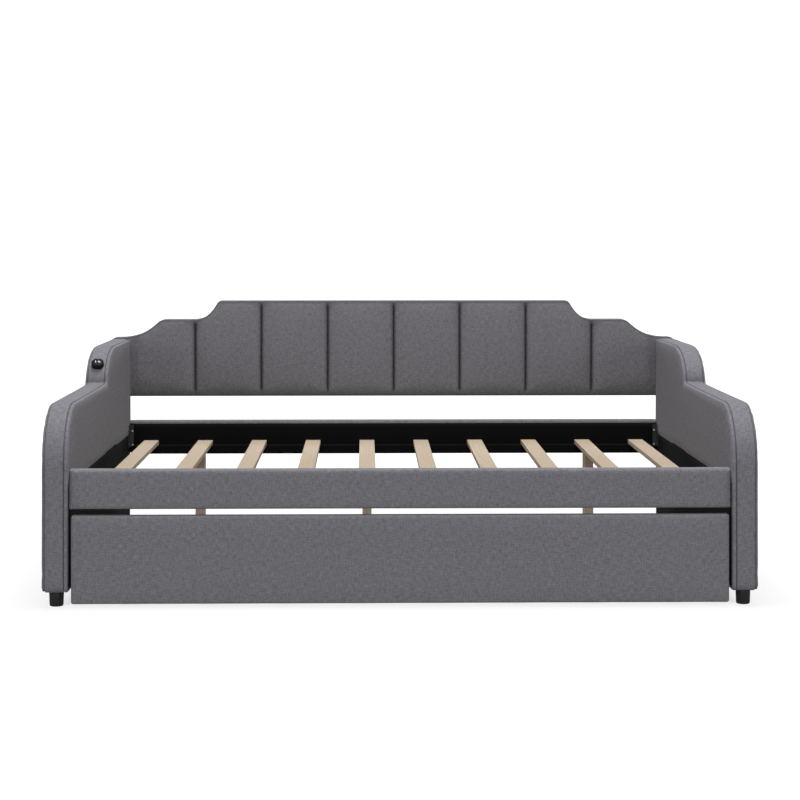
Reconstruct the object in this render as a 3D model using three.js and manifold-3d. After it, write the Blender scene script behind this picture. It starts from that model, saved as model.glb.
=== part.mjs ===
// Full-size upholstered daybed with a twin trundle that rolls out from under it.
// Millimetres, +Z up. X runs along the bed and +Y from its front to its back, and the origin lies
// on the floor under the middle of the whole bed.
import * as THREE from 'three';
import { mergeVertices } from 'three/addons/utils/BufferGeometryUtils.js';
import Module from 'manifold-3d';

const wasm = await Module();
wasm.setup();

// Driving dimensions. Depths run back from the front plane of the arms, heights up from the floor.
const GAP = 0.3;                      // left wherever two pieces touch
const BED_WIDTH = 2080;
const BED_DEPTH = 1525;

const ARM_THICKNESS = 75;
const ARM_DEPTH = 1460;
const ARM_BOTTOM = 42;                // the height of the feet
const ARM_LOW_TOP = 581;              // front part of the armrest
const ARM_HIGH_TOP = 695;             // rear part of the armrest
const ARM_FRONT_RADIUS = 168;
const ARM_CORNER_RADIUS = 18;
const ARM_STEP_DEPTH = 858;           // where the front part meets the step
const ARM_CREST_DEPTH = 1080;         // where the step levels out
const ARM_STEP_HEIGHT = 585;
const ARM_PADDING = 25;               // foam and fabric around the board in each arm
const BOARD_THICKNESS = 18;
const BOARD_CORNER = 6;

const BACKREST_HALF = 1036;
const BACKREST_BOTTOM = 485;
const BACKREST_CROWN = 834;
const BACKREST_MIDDLE = 765.5;
const BACKREST_LOWER = 700;
const BACKREST_PAD = 40;
const CROWN_HALF = 635;
const MIDDLE_START = 735;
const MIDDLE_END = 838;
const SHOULDER_ROUND = 38;            // convex start of the outer drop
const SHOULDER_ANGLE = Math.PI / 4;   // slope where that drop turns concave
const BACKREST_CORNER = 20;

const RAIL_BOTTOM = 281;
const RAIL_TOP = 400;
const RAIL_THICKNESS = 35;
const FRONT_RAIL_SETBACK = 13;
const LEDGER = { depth: 25, height: 30, end: 20 };
const BRACKET = { bottom: 304, height: 80, along: 17, back: 32, sheet: 3 };

const SLAT = { count: 10, width: 54, thickness: 16, pitch: 196.3, play: 2 };
const LEG = { width: 32, depth: 60, front: 1196, slats: [2, 5, 9] };

const FOOT = { top: 21.5, bottom: 20, inset: 40, stud: 4, studLength: 28 };

const CHARGER = { depth: 886.5, height: 639, tilt: 0.72, radius: 20.5, rise: 12, sink: 3, body: 17.5 };
const CHARGER_BODY_LENGTH = 30;
const PORT = { width: 4, length: 9, depth: 9, spread: 6, wall: 0.7 };

const TRUNDLE_HALF = 958;
const TRUNDLE_DEPTH = 1070;
const PANEL = { bottom: 8, top: 268, thickness: 36 };
const TRUNDLE_SIDE = 950;
const TRUNDLE_BEAM = { width: 45, bottom: 60, top: 98 };
const TRUNDLE_REAR = 20;
const TRUNDLE_SLAT = { count: 8, width: 54, thickness: 14, pitch: 226, top: 100, play: 2 };
const TRUNDLE_LEDGER_DEPTH = 24;
const WHEEL = { radius: 24.95, width: 18, bore: 4.4, front: 112, rear: 985 };
const AXLE = { radius: 4, overhang: 2, height: 25 };
const FORK = { gap: 1.5, sheet: 2.5, plateX: 44, plateY: 64, plate: 3, cheek: 15 };

const INNER = BED_WIDTH / 2 - ARM_THICKNESS;
const ARM_MIDDLE = BED_WIDTH / 2 - ARM_THICKNESS / 2;
const REAR_RAIL_FRONT = ARM_DEPTH - RAIL_THICKNESS;
const FRONT_RAIL_BACK = FRONT_RAIL_SETBACK + RAIL_THICKNESS;
const SLAT_BOTTOM = RAIL_BOTTOM + LEDGER.height + 1;
const CURVE_STEPS = 8;
const ROUND_STEPS = 24;

const FINISHES = {
  fabric: { color: 0x69676e, roughness: 0.95, metalness: 0 },
  board: { color: 0x9a7f5a, roughness: 0.8, metalness: 0 },
  pine: { color: 0xb8a486, roughness: 0.7, metalness: 0 },
  lining: { color: 0x18181a, roughness: 0.9, metalness: 0 },
  blackPlastic: { color: 0x1d1d1f, roughness: 0.45, metalness: 0 },
  blackSteel: { color: 0x202124, roughness: 0.5, metalness: 0.6 },
  zinc: { color: 0xb9bcc0, roughness: 0.35, metalness: 0.9 },
  rubber: { color: 0x2a2a2c, roughness: 0.8, metalness: 0 },
};

const bed = new THREE.Group();
const fromFront = new THREE.Group();  // its children are placed by depth from the front plane
fromFront.position.y = -BED_DEPTH / 2;
bed.add(fromFront);

function addPart(name, finish, geometry, x = 0, depth = 0, z = 0, parent = fromFront) {
  const mesh = new THREE.Mesh(geometry, new THREE.MeshStandardMaterial(FINISHES[finish]));
  mesh.name = name;
  mesh.position.set(x, depth, z);
  parent.add(mesh);
}

// A closed mesh as a solid for joins and cuts, and back again.
function toSolid(geometry) {
  const bare = geometry.clone();
  bare.deleteAttribute('normal');
  bare.deleteAttribute('uv');
  const welded = mergeVertices(bare);
  const vertProperties = new Float32Array(welded.attributes.position.array);
  const triVerts = new Uint32Array(welded.index.array);
  return new wasm.Manifold(new wasm.Mesh({ numProp: 3, vertProperties, triVerts }));
}

function toGeometry(solid) {
  const mesh = solid.getMesh();
  const geometry = new THREE.BufferGeometry();
  geometry.setAttribute('position', new THREE.BufferAttribute(mesh.vertProperties, 3));
  geometry.setIndex(new THREE.BufferAttribute(mesh.triVerts, 1));
  geometry.computeVertexNormals();
  return geometry;
}

function cut(geometry, ...tools) {
  return toGeometry(tools.reduce((solid, tool) => solid.subtract(toSolid(tool)), toSolid(geometry)));
}

function join(geometry, ...others) {
  return toGeometry(others.reduce((solid, other) => solid.add(toSolid(other)), toSolid(geometry)));
}

// A block given by its limits along X, depth and height.
function block([x0, x1], [d0, d1], [z0, z1]) {
  const box = new THREE.BoxGeometry(x1 - x0, d1 - d0, z1 - z0);
  return box.translate((x0 + x1) / 2, (d0 + d1) / 2, (z0 + z1) / 2);
}

// An outline drawn as depth and height, made a plate of the given thickness centred on x = 0.
function plateAcross(outline, thickness) {
  const plate = new THREE.ExtrudeGeometry(outline, {
    depth: thickness, bevelEnabled: false, curveSegments: CURVE_STEPS,
  });
  plate.translate(0, 0, -thickness / 2);
  const axes = [new THREE.Vector3(0, 1, 0), new THREE.Vector3(0, 0, 1), new THREE.Vector3(1, 0, 0)];
  return plate.applyMatrix4(new THREE.Matrix4().makeBasis(...axes));
}

// An outline drawn as width and height, made a plate that lies between two depths.
function plateAlong(outline, front, back) {
  const plate = new THREE.ExtrudeGeometry(outline, { depth: back - front, bevelEnabled: false });
  return plate.rotateX(Math.PI / 2).translate(0, back, 0);
}

// A turned piece: pairs of radius and height from the axis and back to it, standing on z.
function turned(profile) {
  const points = profile.map(([radius, height]) => new THREE.Vector2(radius, height));
  return new THREE.LatheGeometry(points, ROUND_STEPS).rotateX(Math.PI / 2);
}

function rod(radius, from, to) {
  return turned([[0, from], [radius, from], [radius, to], [0, to]]);
}

// --- Arms -------------------------------------------------------------------------------------

// The side of an arm, pulled in all round by inset, standing on bottom: a low front part with a
// large round nose, and a quarter-ellipse step up to the rear part.
function armOutline(inset, bottom, corner) {
  const shape = new THREE.Shape();
  const back = ARM_DEPTH - inset;
  const nose = ARM_FRONT_RADIUS - inset;
  const noseCentre = ARM_LOW_TOP - ARM_FRONT_RADIUS;
  const stepRun = ARM_CREST_DEPTH - ARM_STEP_DEPTH - inset;
  const stepRise = ARM_HIGH_TOP - ARM_STEP_HEIGHT - inset;
  shape.moveTo(inset + corner, bottom);
  shape.lineTo(back - corner, bottom);
  shape.absarc(back - corner, bottom + corner, corner, -Math.PI / 2, 0, false);
  shape.lineTo(back, ARM_HIGH_TOP - inset);
  shape.lineTo(ARM_CREST_DEPTH, ARM_HIGH_TOP - inset);
  shape.absellipse(ARM_CREST_DEPTH, ARM_STEP_HEIGHT, stepRun, stepRise, Math.PI / 2, Math.PI, false);
  shape.lineTo(ARM_STEP_DEPTH + inset, ARM_LOW_TOP - inset);
  shape.lineTo(ARM_FRONT_RADIUS, ARM_LOW_TOP - inset);
  shape.absarc(ARM_FRONT_RADIUS, noseCentre, nose, Math.PI / 2, Math.PI, false);
  shape.lineTo(inset, bottom + corner);
  shape.absarc(inset + corner, bottom + corner, corner, Math.PI, 1.5 * Math.PI, false);
  return shape;
}

// Puts a piece that was made on the charger's own axis where the charger sits in the arm.
function onChargerAxis(geometry) {
  return geometry.rotateX(CHARGER.tilt).translate(0, CHARGER.depth, CHARGER.height);
}

function addArm(side, sign) {
  const padded = plateAcross(armOutline(0, ARM_BOTTOM, ARM_CORNER_RADIUS), ARM_THICKNESS);
  const pocketOutline = armOutline(ARM_PADDING - GAP, ARM_BOTTOM - ARM_PADDING, BOARD_CORNER);
  const armCuts = [plateAcross(pocketOutline, BOARD_THICKNESS + 2 * GAP)];
  const plainBoard = plateAcross(armOutline(ARM_PADDING, ARM_BOTTOM + 2, BOARD_CORNER), BOARD_THICKNESS);
  const boardCuts = [FOOT.inset, ARM_DEPTH - FOOT.inset].map((depth) => {
    const hole = rod(FOOT.stud + GAP, ARM_BOTTOM - 1, ARM_BOTTOM + FOOT.studLength + 1);
    return hole.translate(0, depth, 0);
  });
  if (side === 'left') {
    const recess = rod(CHARGER.radius + GAP, -CHARGER.sink, CHARGER.rise);
    const bore = rod(CHARGER.body + GAP, -CHARGER_BODY_LENGTH - GAP, 0);
    armCuts.push(onChargerAxis(recess), onChargerAxis(bore.clone()));
    boardCuts.push(onChargerAxis(bore));
  }
  addPart(`${side}_arm`, 'fabric', cut(padded, ...armCuts), sign * ARM_MIDDLE);
  addPart(`${side}_arm_board`, 'board', cut(plainBoard, ...boardCuts), sign * ARM_MIDDLE);
}

function addFeet() {
  const studTop = ARM_BOTTOM + FOOT.studLength;
  const profile = [
    [0, 0], [FOOT.bottom, 0], [FOOT.top, ARM_BOTTOM - GAP], [FOOT.stud, ARM_BOTTOM - GAP],
    [FOOT.stud, studTop], [0, studTop],
  ];
  for (const [side, sign] of [['left', -1], ['right', 1]]) {
    addPart(`foot_front_${side}`, 'blackPlastic', turned(profile), sign * ARM_MIDDLE, FOOT.inset);
    const rear = ARM_DEPTH - FOOT.inset;
    addPart(`foot_rear_${side}`, 'blackPlastic', turned(profile), sign * ARM_MIDDLE, rear);
  }
}

// --- Charger in the left arm ------------------------------------------------------------------

function addCharger() {
  const charger = new THREE.Group();
  charger.position.set(-ARM_MIDDLE, CHARGER.depth, CHARGER.height);
  charger.rotation.x = CHARGER.tilt;
  fromFront.add(charger);

  const { radius, rise, sink, body } = CHARGER;
  const housing = turned([
    [0, -CHARGER_BODY_LENGTH], [body, -CHARGER_BODY_LENGTH], [body, GAP - sink], [radius, GAP - sink],
    [radius, rise - 3], [radius - 1, rise - 1], [radius - 3, rise], [0, rise],
  ]);
  const slotX = PORT.width / 2 + GAP;
  const slotY = PORT.length / 2 + GAP;
  const floor = rise - PORT.depth;
  const slot = (x) => block([x - slotX, x + slotX], [-slotY, slotY], [floor - GAP, rise + 1]);
  const slotted = cut(housing, slot(-PORT.spread), slot(PORT.spread));
  addPart('charger_housing', 'blackPlastic', slotted, 0, 0, 0, charger);

  const outerX = PORT.width / 2;
  const outerY = PORT.length / 2;
  const innerX = outerX - PORT.wall;
  const innerY = outerY - PORT.wall;
  for (const [side, sign] of [['left', -1], ['right', 1]]) {
    const sleeve = block([-outerX, outerX], [-outerY, outerY], [floor, rise - GAP]);
    const mouth = block([-innerX, innerX], [-innerY, innerY], [floor + PORT.wall, rise + 1]);
    addPart(`charger_port_${side}`, 'zinc', cut(sleeve, mouth), sign * PORT.spread, 0, 0, charger);
  }
}

// --- Backrest ---------------------------------------------------------------------------------

// One half of the backrest's outline, from the middle of the crown to the middle of the bottom:
// a steep scoop down to the middle shoulder, then a soft S down to the lower one.
function backrestHalf() {
  const half = new THREE.Path();
  const drop = BACKREST_MIDDLE - BACKREST_LOWER;
  const scoop = drop / (1 - Math.cos(SHOULDER_ANGLE)) - SHOULDER_ROUND;
  const lowerStart = MIDDLE_END + (SHOULDER_ROUND + scoop) * Math.sin(SHOULDER_ANGLE);
  const corner = BACKREST_CORNER;
  const edge = BACKREST_HALF;
  half.moveTo(0, BACKREST_CROWN);
  half.lineTo(CROWN_HALF, BACKREST_CROWN);
  half.quadraticCurveTo(CROWN_HALF + 8, BACKREST_CROWN, CROWN_HALF + 12, BACKREST_CROWN - 9);
  half.bezierCurveTo(
    CROWN_HALF + 31, BACKREST_CROWN - 41, MIDDLE_START - 50, BACKREST_MIDDLE, MIDDLE_START, BACKREST_MIDDLE,
  );
  half.lineTo(MIDDLE_END, BACKREST_MIDDLE);
  half.absarc(
    MIDDLE_END, BACKREST_MIDDLE - SHOULDER_ROUND, SHOULDER_ROUND, Math.PI / 2,
    Math.PI / 2 - SHOULDER_ANGLE, true,
  );
  half.absarc(
    lowerStart, BACKREST_LOWER + scoop, scoop, 1.5 * Math.PI - SHOULDER_ANGLE, 1.5 * Math.PI, false,
  );
  half.lineTo(edge - corner, BACKREST_LOWER);
  half.absarc(edge - corner, BACKREST_LOWER - corner, corner, Math.PI / 2, 0, true);
  half.lineTo(edge, BACKREST_BOTTOM);
  half.lineTo(0, BACKREST_BOTTOM);
  return half.getPoints(CURVE_STEPS);
}

function backrestOutline() {
  const right = backrestHalf();
  const left = right.slice(1, -1).reverse().map((point) => new THREE.Vector2(-point.x, point.y));
  return new THREE.Shape([...right, ...left]);
}

function addBackrest() {
  const front = ARM_DEPTH + GAP;
  const middle = ARM_DEPTH + BACKREST_PAD;
  addPart('backrest_pad', 'fabric', plateAlong(backrestOutline(), front, middle));
  addPart('backrest_board', 'lining', plateAlong(backrestOutline(), middle + GAP, BED_DEPTH));
}

// --- Rails, ledgers and corner brackets -------------------------------------------------------

function addRails() {
  const length = [-INNER + GAP, INNER - GAP];
  const height = [RAIL_BOTTOM, RAIL_TOP];
  addPart('front_rail', 'fabric', block(length, [FRONT_RAIL_SETBACK, FRONT_RAIL_BACK], height));
  addPart('rear_rail', 'fabric', block(length, [REAR_RAIL_FRONT, ARM_DEPTH], height));
}

function addLedgers() {
  const length = [LEDGER.end - INNER, INNER - LEDGER.end];
  const height = [RAIL_BOTTOM, SLAT_BOTTOM - GAP];
  const front = [FRONT_RAIL_BACK + GAP, FRONT_RAIL_BACK + LEDGER.depth];
  const rear = [REAR_RAIL_FRONT - LEDGER.depth, REAR_RAIL_FRONT - GAP];
  addPart('front_ledger', 'lining', block(length, front, height));
  addPart('rear_ledger', 'lining', block(length, rear, height));
}

// An angle of sheet steel in each inside corner, one wing on the rail and one on the arm.
function addCornerBrackets() {
  const height = [BRACKET.bottom, BRACKET.bottom + BRACKET.height];
  for (const [end, face, inward] of [['front', FRONT_RAIL_BACK, 1], ['rear', REAR_RAIL_FRONT, -1]]) {
    const span = (near, far) => [face + inward * near, face + inward * far].sort((a, b) => a - b);
    const railWing = block([-BRACKET.along, -GAP], span(GAP, GAP + BRACKET.sheet), height);
    const armWing = block([-GAP - BRACKET.sheet, -GAP], span(GAP, BRACKET.back), height);
    const angle = join(railWing, armWing);
    addPart(`bracket_${end}_right`, 'blackSteel', angle, INNER);
    const mirrored = join(
      block([GAP, BRACKET.along], span(GAP, GAP + BRACKET.sheet), height),
      block([GAP, GAP + BRACKET.sheet], span(GAP, BRACKET.back), height),
    );
    addPart(`bracket_${end}_left`, 'blackSteel', mirrored, -INNER);
  }
}

// --- Slats and support legs -------------------------------------------------------------------

function slatX(number, count, pitch) {
  return (number - (count + 1) / 2) * pitch;
}

function addSlats() {
  const half = SLAT.width / 2;
  const run = [FRONT_RAIL_BACK + SLAT.play, REAR_RAIL_FRONT - SLAT.play];
  const height = [SLAT_BOTTOM, SLAT_BOTTOM + SLAT.thickness];
  for (let number = 1; number <= SLAT.count; number += 1) {
    const x = slatX(number, SLAT.count, SLAT.pitch);
    addPart(`slat_${String(number).padStart(2, '0')}`, 'pine', block([-half, half], run, height), x);
  }
}

function addSupportLegs() {
  const half = LEG.width / 2;
  const run = [LEG.front, LEG.front + LEG.depth];
  for (const number of LEG.slats) {
    const x = slatX(number, SLAT.count, SLAT.pitch);
    const leg = block([-half, half], run, [0, SLAT_BOTTOM - GAP]);
    addPart(`support_leg_${LEG.slats.indexOf(number) + 1}`, 'pine', leg, x);
  }
}

// --- Trundle ----------------------------------------------------------------------------------

function addTrundleFrame() {
  const { width, bottom, top } = TRUNDLE_BEAM;
  const beamBack = TRUNDLE_DEPTH - TRUNDLE_REAR - GAP;
  const panelBack = PANEL.thickness + GAP;
  const inside = TRUNDLE_SIDE - width - GAP;
  const panel = block([-TRUNDLE_HALF, TRUNDLE_HALF], [0, PANEL.thickness], [PANEL.bottom, PANEL.top]);
  addPart('trundle_front_panel', 'fabric', panel);
  for (const [side, sign] of [['left', -1], ['right', 1]]) {
    const beam = block([-width / 2, width / 2], [panelBack, beamBack], [bottom, top]);
    addPart(`trundle_${side}_beam`, 'pine', beam, sign * (TRUNDLE_SIDE - width / 2));
  }
  const rear = [TRUNDLE_DEPTH - TRUNDLE_REAR, TRUNDLE_DEPTH];
  addPart('trundle_rear_rail', 'board', block([-TRUNDLE_SIDE, TRUNDLE_SIDE], rear, [bottom, top]));
  const ledgerHeight = [bottom, TRUNDLE_SLAT.top - TRUNDLE_SLAT.thickness - GAP];
  const frontLedger = [panelBack, panelBack + TRUNDLE_LEDGER_DEPTH];
  const rearLedger = [beamBack - TRUNDLE_LEDGER_DEPTH, beamBack];
  addPart('trundle_front_ledger', 'pine', block([-inside, inside], frontLedger, ledgerHeight));
  addPart('trundle_rear_ledger', 'pine', block([-inside, inside], rearLedger, ledgerHeight));
}

function addTrundleSlats() {
  const { count, width, thickness, pitch, top, play } = TRUNDLE_SLAT;
  const run = [PANEL.thickness + play, TRUNDLE_DEPTH - TRUNDLE_REAR - play];
  for (let number = 1; number <= count; number += 1) {
    const slat = block([-width / 2, width / 2], run, [top - thickness, top]);
    addPart(`trundle_slat_${number}`, 'pine', slat, slatX(number, count, pitch));
  }
}

// A wheel with a crowned tread and dished sides, turned about its axle.
function wheelGeometry() {
  const { radius, width, bore } = WHEEL;
  const half = width / 2;
  return turned([
    [bore, -half], [bore + 5, -half], [bore + 6, 3 - half], [radius - 6, 3 - half],
    [radius - 5, 1 - half], [radius - 2, 1 - half], [radius, 3 - half],
    [radius, half - 3], [radius - 2, half - 1], [radius - 5, half - 1],
    [radius - 6, half - 3], [bore + 6, half - 3], [bore + 5, half], [bore, half], [bore, -half],
  ]).rotateY(Math.PI / 2);
}

// A fork of bent sheet: a screw plate under the beam and two cheeks that hold the axle.
function forkGeometry() {
  const top = TRUNDLE_BEAM.bottom - GAP;
  const plateX = [-FORK.plateX / 2, FORK.plateX / 2];
  const plate = block(plateX, [-FORK.plateY / 2, FORK.plateY / 2], [top - FORK.plate, top]);
  const cheekOutline = new THREE.Shape();
  cheekOutline.moveTo(FORK.plateY / 3, top - 1);
  cheekOutline.lineTo(-FORK.plateY / 3, top - 1);
  cheekOutline.lineTo(-FORK.cheek / 2, AXLE.height);
  cheekOutline.absarc(0, AXLE.height, FORK.cheek / 2, Math.PI, 2 * Math.PI, false);
  const hole = new THREE.Path();
  hole.absarc(0, AXLE.height, AXLE.radius + GAP, 0, 2 * Math.PI, true);
  cheekOutline.holes.push(hole);
  const offset = WHEEL.width / 2 + FORK.gap + FORK.sheet / 2;
  const cheeks = [-offset, offset].map((x) => plateAcross(cheekOutline, FORK.sheet).translate(x, 0, 0));
  return join(plate, ...cheeks);
}

function addCasters() {
  const reach = WHEEL.width / 2 + FORK.gap + FORK.sheet + AXLE.overhang;
  for (const [side, sign] of [['left', -1], ['right', 1]]) {
    const x = sign * (TRUNDLE_SIDE - TRUNDLE_BEAM.width / 2);
    for (const [end, depth] of [['front', WHEEL.front], ['rear', WHEEL.rear]]) {
      const place = `${end}_${side}`;
      const axle = rod(AXLE.radius, -reach, reach).rotateY(Math.PI / 2);
      addPart(`caster_fork_${place}`, 'zinc', forkGeometry(), x, depth);
      addPart(`caster_axle_${place}`, 'zinc', axle, x, depth, AXLE.height);
      addPart(`caster_wheel_${place}`, 'rubber', wheelGeometry(), x, depth, AXLE.height);
    }
  }
}

addArm('left', -1);
addArm('right', 1);
addFeet();
addCharger();
addBackrest();
addRails();
addLedgers();
addCornerBrackets();
addSlats();
addSupportLegs();
addTrundleFrame();
addTrundleSlats();
addCasters();

export default bed;
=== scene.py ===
"""An upholstered daybed with a slatted trundle under it: its covers, timber, hardware, stage and camera."""
import math

import bmesh
import bpy
import numpy as np
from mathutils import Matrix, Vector


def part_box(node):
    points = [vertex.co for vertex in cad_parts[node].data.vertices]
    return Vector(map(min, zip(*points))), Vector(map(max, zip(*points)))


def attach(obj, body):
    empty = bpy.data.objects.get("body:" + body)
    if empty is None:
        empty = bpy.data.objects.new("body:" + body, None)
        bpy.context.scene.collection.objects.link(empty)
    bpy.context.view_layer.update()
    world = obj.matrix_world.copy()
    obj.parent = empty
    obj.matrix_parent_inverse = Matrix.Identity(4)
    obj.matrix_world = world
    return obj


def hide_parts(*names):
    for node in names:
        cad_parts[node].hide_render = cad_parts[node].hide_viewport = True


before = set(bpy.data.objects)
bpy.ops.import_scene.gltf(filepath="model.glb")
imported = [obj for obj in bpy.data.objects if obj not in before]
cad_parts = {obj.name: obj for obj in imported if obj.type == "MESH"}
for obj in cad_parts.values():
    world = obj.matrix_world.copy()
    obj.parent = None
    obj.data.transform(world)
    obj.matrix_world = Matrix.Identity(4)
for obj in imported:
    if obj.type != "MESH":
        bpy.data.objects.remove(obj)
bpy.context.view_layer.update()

bl_info = {
    "name": "Trundle daybed",
    "version": (1, 0, 0),
    "blender": (4, 5, 0),
    "location": "View3D > Sidebar > Daybed",
    "description": "Upholstery, timber and hardware of a daybed with a trundle",
    "category": "Add Mesh",
}

SIDES = {"left": -1, "right": 1}
ENDS = ("front", "rear")
WELD = 1e-5          # points closer than this are one point
HOLD = 0.0006        # a board's flat faces start this far from its rounded edges
SWELL_FRAMES = 20
WHITE = (1.0, 1.0, 1.0, 1.0)


# Sizes and colours ---------------------------------------------------------------------------

def length(name, description, default):
    """A length in metres that a user can change."""
    return bpy.props.FloatProperty(
        name=name, description=description, default=default, min=0.0, unit="LENGTH", precision=4)


def colour(name, description, default):
    """A colour that a user can change."""
    return bpy.props.FloatVectorProperty(
        name=name, description=description, default=default, subtype="COLOR", size=3, min=0.0, max=1.0)


def power(name, description, default):
    """The power of a light in watts."""
    return bpy.props.FloatProperty(
        name=name, description=description, default=default, min=0.0, unit="POWER")


def share(name, description, default):
    """A number without a unit, not below zero."""
    return bpy.props.FloatProperty(name=name, description=description, default=default, min=0.0)


class UpholsterySizes(bpy.types.PropertyGroup):
    """Sizes and colours of the covers, their seams and the black linings."""
    cloth: colour("Cloth", "Colour of the woven cover", (0.172, 0.168, 0.186))
    lining: colour("Lining", "Colour of the non-woven lining", (0.003, 0.003, 0.0033))
    thread_pitch: length("Thread pitch", "Width of one thread of the weave", 0.0011)
    roll: length("Edge roll", "Radius over which an arm's side rolls into its band", 0.005)
    inner_seam: length("Inner seam", "Distance of the inner seam from an arm's inner side", 0.0115)
    outer_seam: length("Outer seam", "Distance of the outer seam from an arm's outer side", 0.0072)
    seam_depth: length("Seam depth", "Depth of the sewn groove along an arm", 0.0036)
    seam_width: length("Seam width", "Width of the sewn groove along an arm", 0.0036)
    swell: length("Swell", "Furthest that the filling pushes a cover out", 0.003)
    channel_depth: length("Channel depth", "Depth of the valleys sewn down the backrest", 0.015)
    lining_top: length("Lining top", "Height at which an arm's cloth gives way to lining", 0.356)
    rail_turn: length("Rail turn-in", "Depth of cloth over the top of a rail's inner face", 0.0115)
    sheet: length("Lining thickness", "Thickness of the lining", 0.0008)


class TimberSizes(bpy.types.PropertyGroup):
    """Sizes and colours of the slats, legs and frame members."""
    pine: colour("Pine", "Colour of the early wood", (0.43, 0.352, 0.265))
    late: colour("Late wood", "Colour of the darker rings", (0.34, 0.255, 0.172))
    ply: colour("Plywood", "Colour of the plywood", (0.42, 0.30, 0.17))
    edge: length("Edge radius", "Rounding of the sawn edges", 0.0018)


class HardwareSizes(bpy.types.PropertyGroup):
    """Sizes and colours of the feet, brackets, charging module and casters."""
    plastic: colour("Plastic", "Colour of the moulded plastic", (0.0055, 0.0055, 0.006))
    steel: colour("Coated steel", "Colour of the powder coat", (0.014, 0.014, 0.016))
    zinc: colour("Zinc", "Colour of the zinc plate", (0.58, 0.59, 0.60))
    tyre: colour("Tyre", "Colour of the wheels' tread", (0.022, 0.022, 0.024))
    bolt: length("Bolt head", "Radius of a bolt head", 0.0037)


class StageSizes(bpy.types.PropertyGroup):
    """The camera, the lights and the floor."""
    floor: colour("Floor", "Colour of the floor", (0.50, 0.50, 0.50))
    lens: share("Lens", "Focal length in millimetres", 84.9)
    eye_height: length("Eye height", "Height of the camera", 1.090)
    eye_distance: length("Eye distance", "Distance of the camera in front of the middle", 6.2325)
    eye_side: length("Eye side", "Distance of the camera to the left of the middle", 0.1026)
    sky: share("Sky", "Brightness of the surroundings", 0.145)
    overhead: power("Overhead", "Power of the overhead light", 548.0)
    front_light: power("Front light", "Power of the front light", 162.0)
    side_light: power("Side light", "Power of each side light", 85.0)
    rear_light: power("Rear light", "Power of the rear light", 130.0)
    backdrop: share("Backdrop", "Brightness of the white behind the object", 1.1)
    white: share("White", "Brightness of the floor's plain white to the eye", 1.22)
    bounce: share("Bounce", "Light that the white floor gives back to the object", 0.36)
    glow: share("Glow", "Share of plain white in the floor close to the object", 0.68)


# Shader expressions --------------------------------------------------------------------------

class Value:
    """A shader socket that can stand in Python arithmetic; each operation adds one Math node."""

    def __init__(self, finish, socket):
        self.finish, self.socket = finish, socket

    def math(self, operation, *others):
        node = self.finish.node("ShaderNodeMath", {"operation": operation}, dict(enumerate(others)))
        return Value(self.finish, node.outputs[0])

    def __add__(self, other):
        return self.math("ADD", self, other)

    def __sub__(self, other):
        return self.math("SUBTRACT", self, other)

    def __rsub__(self, other):
        return self.math("SUBTRACT", other, self)

    def __mul__(self, other):
        return self.math("MULTIPLY", self, other)

    def __truediv__(self, other):
        return self.math("DIVIDE", self, other)

    def __pow__(self, other):
        return self.math("POWER", self, other)

    __radd__, __rmul__ = __add__, __mul__

    def sine(self):
        return self.math("SINE", self)

    def size(self):
        return self.math("ABSOLUTE", self)

    def largest(self, other):
        return self.math("MAXIMUM", self, other)

    def clamped(self):
        return self.math("MINIMUM", self.largest(0.0), 1.0)


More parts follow.
